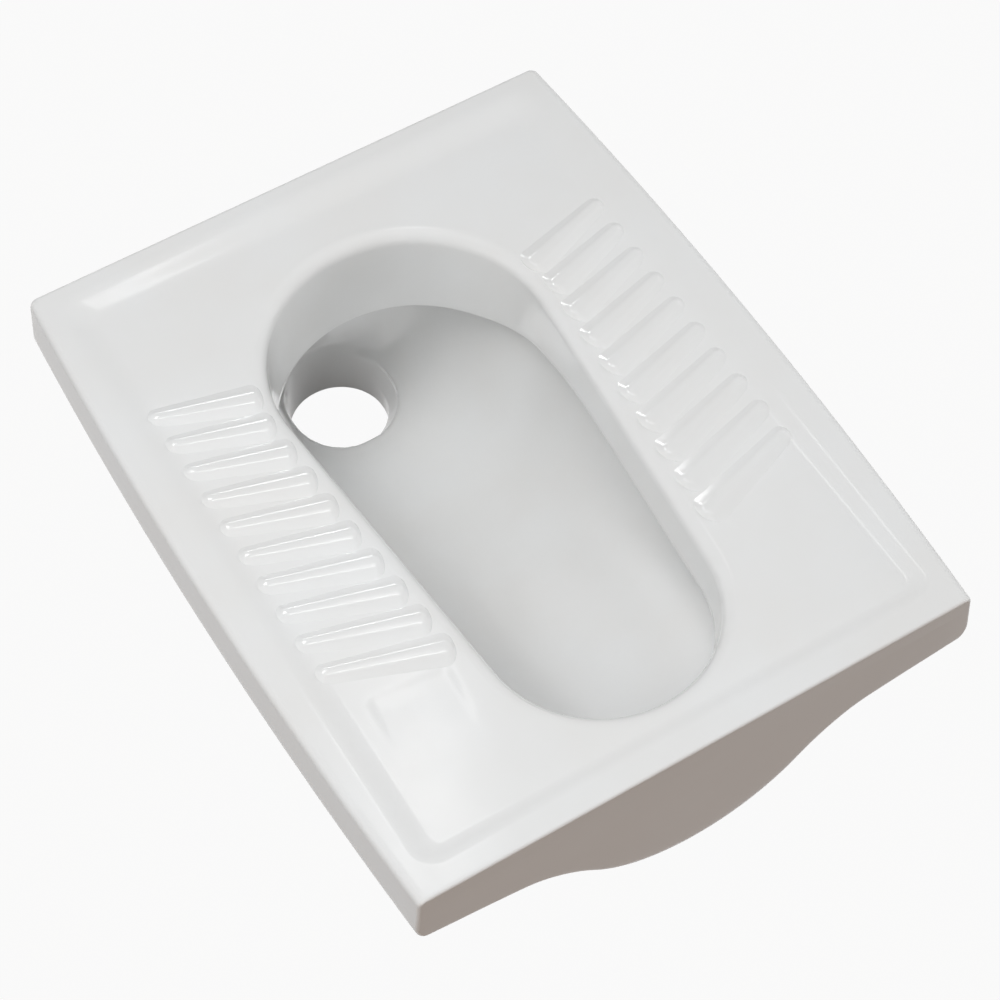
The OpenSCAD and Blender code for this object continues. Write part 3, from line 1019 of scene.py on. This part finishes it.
def add(tree, kind, settings=(), links=()):
    """Add one node, set its values and link its inputs."""
    node = tree.nodes.new(kind)
    for name, value in dict(settings).items():
        if isinstance(name, int) or name in node.inputs:
            node.inputs[name].default_value = value
        else:
            setattr(node, name, value)
    for name, output in dict(links).items():
        tree.links.new(output, node.inputs[name])
    return node


def new_material(name):
    """A material with its node tree and its shader."""
    material = bpy.data.materials.new(name)
    material.use_nodes = True
    tree = material.node_tree
    return material, tree, tree.nodes["Principled BSDF"]


def per_metre(size_mm):
    """A noise scale at which one patch is a size given in millimetres."""
    return 1 / (size_mm * MM)


def patches(tree, size_mm, detail, roughness=0.5):
    """Soft noise with patches of a real size, on the piece's own coordinates."""
    where = add(tree, "ShaderNodeTexCoord").outputs["Object"]
    settings = {"Scale": per_metre(size_mm), "Detail": detail, "Roughness": roughness}
    return add(tree, "ShaderNodeTexNoise", settings, {"Vector": where}).outputs["Fac"]


def blend_of(tree, share, first, second):
    """A colour that drifts between two hex colours with a pattern."""
    ramp = add(tree, "ShaderNodeValToRGB", {}, {"Fac": share})
    ramp.color_ramp.elements[0].position = 0.32
    ramp.color_ramp.elements[0].color = linear(first)
    ramp.color_ramp.elements[1].position = 0.68
    ramp.color_ramp.elements[1].color = linear(second)
    return ramp.outputs["Color"]


def between_values(tree, share, low, high):
    """A number that drifts between two values with a pattern."""
    settings = {"From Min": 0.3, "From Max": 0.7, "To Min": low, "To Max": high}
    return add(tree, "ShaderNodeMapRange", settings, {"Value": share}).outputs["Result"]


def relief(tree, height, deep_mm, under=None):
    """Bump of a real depth in millimetres, on top of another bump."""
    links = {"Height": height}
    if under is not None:
        links["Normal"] = under
    return add(tree, "ShaderNodeBump", {"Strength": 1.0, "Distance": deep_mm * MM}, links).outputs["Normal"]


def surface(tree, shader, colour, roughness, normal):
    """Give a shader its colour, roughness and relief."""
    for name, output in (("Base Color", colour), ("Roughness", roughness), ("Normal", normal)):
        tree.links.new(output, shader.inputs[name])


# %% [markdown]
# Glazed vitreous china is a white clay body, fired until it is glassy, under a fraction of a millimetre
# of opaque glaze. The glaze melts and flows, so it is level and glossy, but it keeps a slow waviness a
# few centimetres long that makes reflected lines swim a little, and a very fine orange peel. Where it
# ran thinner, the warmer body tints it by a shade.

# %% Glazed vitreous china
glazed, tree, shader = new_material("glazed_vitreous_china")
GLAZE_POOL = 90
GLAZE_WAVE = 34
GLAZE_CLOUD = 22
GLAZE_PEEL = 2.2
thickness = patches(tree, GLAZE_POOL, 3)
tint = blend_of(tree, thickness, "#F3F3F2", "#F5F6F6")
gloss = between_values(tree, patches(tree, GLAZE_CLOUD, 4), 0.11, 0.16)
waves = relief(tree, patches(tree, GLAZE_WAVE, 1), 0.1)
peel = relief(tree, patches(tree, GLAZE_PEEL, 1), 0.0035, waves)
surface(tree, shader, tint, gloss, peel)
shader.inputs["IOR"].default_value = 1.52
print(f"glaze: waves of {GLAZE_WAVE} mm, 0.1 mm deep, and a peel of {GLAZE_PEEL} mm")

# %% [markdown]
# The hidden faces that never meet water are left bare: bisque, the fired body itself. It is matt and a
# little creamy, with darker smears where the slip was sponged, and a grain of clay and sand. Real grit
# is a tenth of a millimetre, too fine for a picture, so it is drawn at nearly one.

# %% Unglazed bisque
bisque, tree, shader = new_material("unglazed_bisque")
SPONGE_SMEAR = 28
BISQUE_CHALK = 6
CLAY_GRIT = 0.8
smears = patches(tree, SPONGE_SMEAR, 5, 0.6)
cream = blend_of(tree, smears, "#D8D0C2", "#E9E4DA")
chalk = between_values(tree, patches(tree, BISQUE_CHALK, 3), 0.78, 0.92)
scraped = relief(tree, smears, 0.25)
grit = relief(tree, patches(tree, CLAY_GRIT, 2, 0.7), 0.06, scraped)
surface(tree, shader, cream, chalk, grit)
shader.inputs["Specular IOR Level"].default_value = 0.3
print(f"bisque: smears of {SPONGE_SMEAR} mm and grit of {CLAY_GRIT} mm")

# %% [markdown]
# The cone is moulded rubber: nearly black, with a satin skin from the polished mould and a grey bloom of
# wax that comes to the surface in cloudy patches and dulls it there.

# %% Moulded rubber
rubber, tree, shader = new_material("moulded_rubber")
BLOOM = 9
SKIN_GRAIN = 0.9
bloom = patches(tree, BLOOM, 4, 0.6)
black = blend_of(tree, bloom, "#181819", "#29292A")
dull = between_values(tree, bloom, 0.42, 0.68)
skin = relief(tree, patches(tree, SKIN_GRAIN, 2), 0.02)
surface(tree, shader, black, dull, skin)
print(f"rubber: bloom in clouds of {BLOOM} mm, skin grain {SKIN_GRAIN} mm")

# %% [markdown]
# ## Bodies and slots
# Nothing on this pan moves, so all pieces ride on one body. Each new mesh takes the place of one node of
# the frame. The webs under the treads are plain slabs, so their nodes stay and only get their finish.

# %% Join the pieces to the frame
def dress(piece, material, node=None):
    """Give a piece its finish and, if it is a new one, its place on the body for a node."""
    piece.data.materials.clear()
    piece.data.materials.append(material)
    if node:
        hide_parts(node)
        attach(piece, "root")


china_pieces = {
    "deck": deck, "flush_collar": collar, "channel_wall": channel, "bowl": bowl, "outlet_spigot": spigot,
    "left_foot_tread": left_tread, "right_foot_tread": right_tread, "front_apron": front_apron,
    "back_apron": back_apron, "left_apron": left_apron, "right_apron": right_apron,
}
for node, piece in china_pieces.items():
    dress(piece, glazed, node)
dress(horn, bisque, "inlet_horn")
dress(cone, rubber, "inlet_cone")
for webs in ("left_webs", "right_webs"):
    dress(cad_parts[webs], bisque)
print(f"{len(china_pieces)} glazed pieces, the horn, the cone and two sets of webs")

# %% [markdown]
# ## The stage
# Floor and backdrop look white, but a bright floor would wash out the dark front and underside. So both
# are white only to rays that see them, straight, mirrored or through something, and darker for the light
# that they give. The floor keeps a share of its shaded colour, and with it the pan's shadow.

# %% Floor
FLOOR_SIZE = 12
FLOOR_LIFT = 0.95


def white_to_sight(tree):
    """1 for rays that see the backdrop straight, in a reflection or through something, 0 for its light."""
    path = add(tree, "ShaderNodeLightPath")
    seen = path.outputs["Is Camera Ray"]
    for ray in ("Is Glossy Ray", "Is Transmission Ray"):
        links = {0: seen, 1: path.outputs[ray]}
        seen = add(tree, "ShaderNodeMath", {"operation": "MAXIMUM"}, links).outputs[0]
    return seen


clear()
bpy.ops.mesh.primitive_plane_add(size=FLOOR_SIZE, location=(0, 0, 0))
floor = new_piece("studio_floor")
floor_material, tree, shader = new_material("pale_studio_paper")
shader.inputs["Base Color"].default_value = linear("#523C2A")
shader.inputs["Roughness"].default_value = 0.9
shader.inputs["Specular IOR Level"].default_value = 0
white = add(tree, "ShaderNodeEmission", {"Color": (1, 1, 1, 1), "Strength": 1.0})
lift = add(tree, "ShaderNodeMath", {"operation": "MULTIPLY", 1: FLOOR_LIFT}, {0: white_to_sight(tree)})
mix = add(tree, "ShaderNodeMixShader", {}, {0: lift.outputs[0], 1: shader.outputs[0], 2: white.outputs[0]})
tree.links.new(mix.outputs[0], tree.nodes["Material Output"].inputs["Surface"])
floor.data.materials.append(floor_material)
print(f"floor of {FLOOR_SIZE} m, {FLOOR_LIFT:.0%} white to sight")

# %% World
AMBIENT = 0.11
world = bpy.data.worlds.new("plain_studio")
bpy.context.scene.world = world
world.use_nodes = True
tree = world.node_tree
ambient = tree.nodes["Background"]
ambient.inputs["Color"].default_value = linear("#F2F2F2")
ambient.inputs["Strength"].default_value = AMBIENT
backdrop = add(tree, "ShaderNodeBackground", {"Color": (1, 1, 1, 1), "Strength": 1.0})
mix = add(
    tree, "ShaderNodeMixShader", {},
    {0: white_to_sight(tree), 1: ambient.outputs[0], 2: backdrop.outputs[0]},
)
tree.links.new(mix.outputs[0], tree.nodes["World Output"].inputs["Surface"])
print(f"ambient light {AMBIENT}")

# %% [markdown]
# ## The soft boxes
# A large box overhead, a little to the left, and smaller ones round the pan give soft light. A low warm
# one lights the front face, as a warm floor would. A glaze mirrors a large box as a broad pale band that
# hides the relief, so these are kept out of reflections.

# %% Soft boxes
DECK_MIDDLE = Vector((0, 0, TOP * MM))


def lamp(name, spot, across, along, power, colour="#FFFFFF"):
    """A rectangular lamp that faces the middle of the deck, in metres and watts."""
    data = bpy.data.lights.new(name, "AREA")
    data.shape = "RECTANGLE"
    data.size = across
    data.size_y = along
    data.energy = power
    data.color = linear(colour)[:3]
    box = bpy.data.objects.new(name, data)
    bpy.context.scene.collection.objects.link(box)
    box.location = spot
    box.rotation_euler = (DECK_MIDDLE - Vector(spot)).to_track_quat("-Z", "Y").to_euler()
    box.visible_glossy = False
    return box


lamp("overhead_softbox", (-0.42, -0.1, 2.4), 1.5, 1.5, 25)
lamp("left_softbox", (-2.1, 0.25, 1.05), 1.2, 1.2, 9.5)
lamp("right_fill", (2.2, -0.3, 1.0), 1.2, 1.2, 17)
lamp("front_fill", (-1.1, -1.1, 2.2), 1.0, 1.0, 9)
lamp("warm_bounce", (-0.5, -2.3, 0.2), 1.2, 0.4, 3.0, "#FFAC20")
print("five soft boxes")

# %% [markdown]
# ## The highlight lines
# A glaze looks wet through a few narrow lines along its bends. Each comes from a strip: a lamp that is
# mirrored in the glaze and adds no other light. It shows where the normal lies halfway between the lamp
# and the eye, so its spot follows from the bend that it should light. One strip draws the pair of lines
# down the recess's right slope. The others are linked to the treads alone and draw the ribs' shoulders.

# %% Strips
def strip(name, spot, across, along, radiance):
    """A narrow lamp that shows as a line in the glaze. A radiance of 1 is white."""
    box = lamp(name, spot, across, along, radiance * pi * across * along)
    box.visible_glossy = True
    box.visible_diffuse = False
    return box


strip("strip_for_right_slope", (0.24, 0.62, 2.1), 0.13, 0.36, 3.2)
treads = bpy.data.collections.new("treads")
for tread in (left_tread, right_tread):
    treads.objects.link(tread)
for line in (
    strip("strip_for_rib_ends", (-0.28, 1.0, 2.0), 0.44, 0.3, 13),
    strip("strip_over_ribs", (0.0, 0.24, 2.28), 0.6, 0.2, 8),
    strip("strip_for_right_tips", (1.74, 0.94, 1.145), 0.14, 0.26, 14),
    strip("strip_behind_left_ribs", (0.2, 0.95, 0.835), 0.3, 0.12, 14),
):
    line.light_linking.receiver_collection = treads
print("one strip for the recess and four for the ribs")

# %% [markdown]
# ## The camera
# It looks down from the front left, as in the photograph. Its place was solved from the deck's four
# corners, and its long lens keeps the sides nearly parallel.

# %% Camera
CAMERA_AT = Vector((-0.58021, -1.00803, 1.97745))
AIM = Vector((-0.0151, -0.0501, 0.285))
ROLL = radians(-0.902)
LENS = 99.0
SENSOR = 36
camera_data = bpy.data.cameras.new("photo_camera")
camera_data.lens = LENS
camera_data.sensor_width = SENSOR
camera = bpy.data.objects.new("photo_camera", camera_data)
bpy.context.scene.collection.objects.link(camera)
camera.location = CAMERA_AT
turn = (AIM - CAMERA_AT).to_track_quat("-Z", "Y").to_matrix().to_4x4()
camera.rotation_euler = (turn @ Matrix.Rotation(ROLL, 4, "Z")).to_euler()
bpy.context.scene.camera = camera
bpy.context.scene.view_settings.view_transform = "Standard"
distance = (AIM - CAMERA_AT).length
print(f"camera {distance:.2f} m away with a lens of {LENS:.0f} mm")
